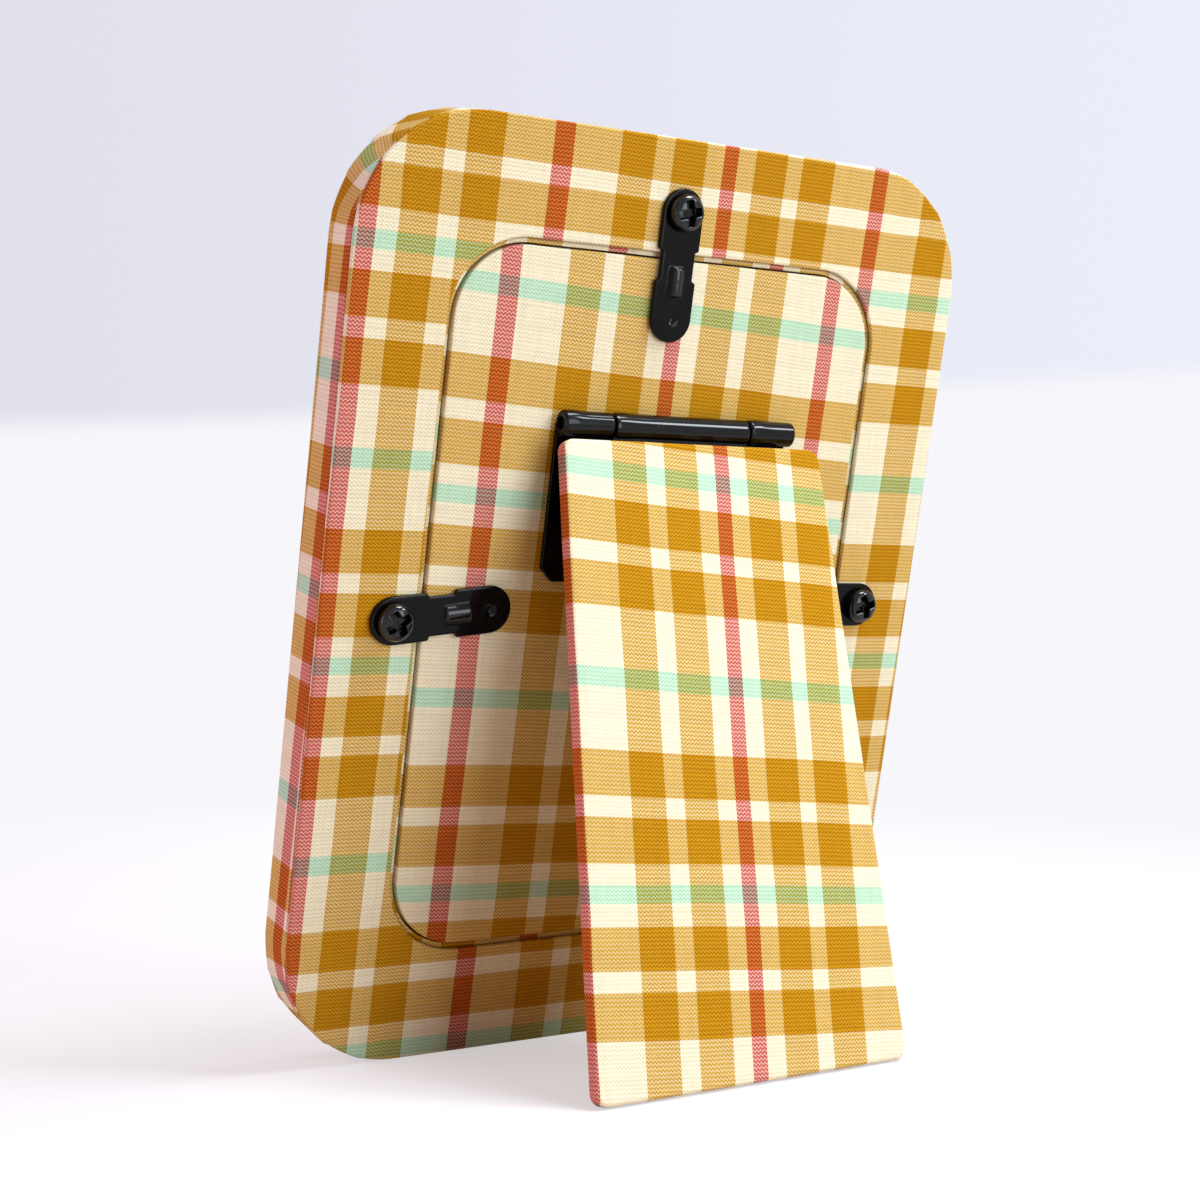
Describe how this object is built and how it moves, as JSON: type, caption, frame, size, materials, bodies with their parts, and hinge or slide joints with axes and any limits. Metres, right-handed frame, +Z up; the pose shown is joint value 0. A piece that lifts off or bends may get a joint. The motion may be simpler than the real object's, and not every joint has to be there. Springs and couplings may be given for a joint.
{
  "type": "tabletop photo frame",
  "caption": "Portrait photo frame wrapped in plaid cotton, leaning back on a hinged easel leg, with a lift-out back panel held by turn buttons.",
  "frame": {"origin": "middle of the standing frame's footprint box, on the floor that the lower back edge and the leg's foot touch", "axes": "+Z up, the picture side faces -Y and leans back, the leg stands out towards +Y, +X is the left side seen from behind"},
  "size_m": [0.164, 0.076, 0.2109],
  "materials": {
    "plaid_cotton": "plain-woven plaid cotton, cream, ochre, rust and mint",
    "black_steel": "black semi-gloss stamped steel",
    "fibreboard": "raw fibreboard",
    "grey_card": "matte grey card",
    "clear_glass": "clear picture glass",
    "photo_paper": "semi-gloss photo paper",
    "lining_paper": "matte lining paper"
  },
  "bodies": {
    "frame": {"front_board": "fibreboard", "front_fabric": "plaid_cotton", "back_ring_board": "grey_card", "back_ring_fabric": "plaid_cotton", "glass_pane": "clear_glass", "photo_print": "photo_paper", "filler_card": "grey_card", "back_panel_board": "fibreboard", "back_panel_fabric": "plaid_cotton", "hinge_plate": "black_steel", "hinge_pin": "black_steel", "hinge_plate_rivet_left": "black_steel", "hinge_plate_rivet_right": "black_steel", "turn_screw_top": "black_steel", "turn_screw_left": "black_steel", "turn_screw_right": "black_steel"},
    "leg": {"leg_board": "fibreboard", "leg_fabric": "plaid_cotton", "leg_lining": "lining_paper", "leg_leaf": "black_steel", "leg_leaf_rivet_left": "black_steel", "leg_leaf_rivet_right": "black_steel"},
    "top_button": {"turn_button_top": "black_steel"},
    "left_button": {"turn_button_left": "black_steel"},
    "right_button": {"turn_button_right": "black_steel"}
  },
  "joints": [
    {"name": "leg_hinge", "type": "hinge", "parent": "frame", "child": "leg", "pos_m": [0, 0.00715, 0.14455], "axis": [1, 0, 0], "range_deg": [-20.5, 0]},
    {"name": "top_button_swivel", "type": "hinge", "parent": "frame", "child": "top_button", "pos_m": [0.0022, 0.01456, 0.19254], "axis": [0, 0.9796, -0.2011], "continuous": true},
    {"name": "left_button_swivel", "type": "hinge", "parent": "frame", "child": "left_button", "pos_m": [0.0648, -0.00425, 0.10095], "axis": [0, 0.9796, -0.2011], "continuous": true},
    {"name": "right_button_swivel", "type": "hinge", "parent": "frame", "child": "right_button", "pos_m": [-0.0648, -0.0036, 0.10408], "axis": [0, 0.9796, -0.2011], "continuous": true}
  ]
}
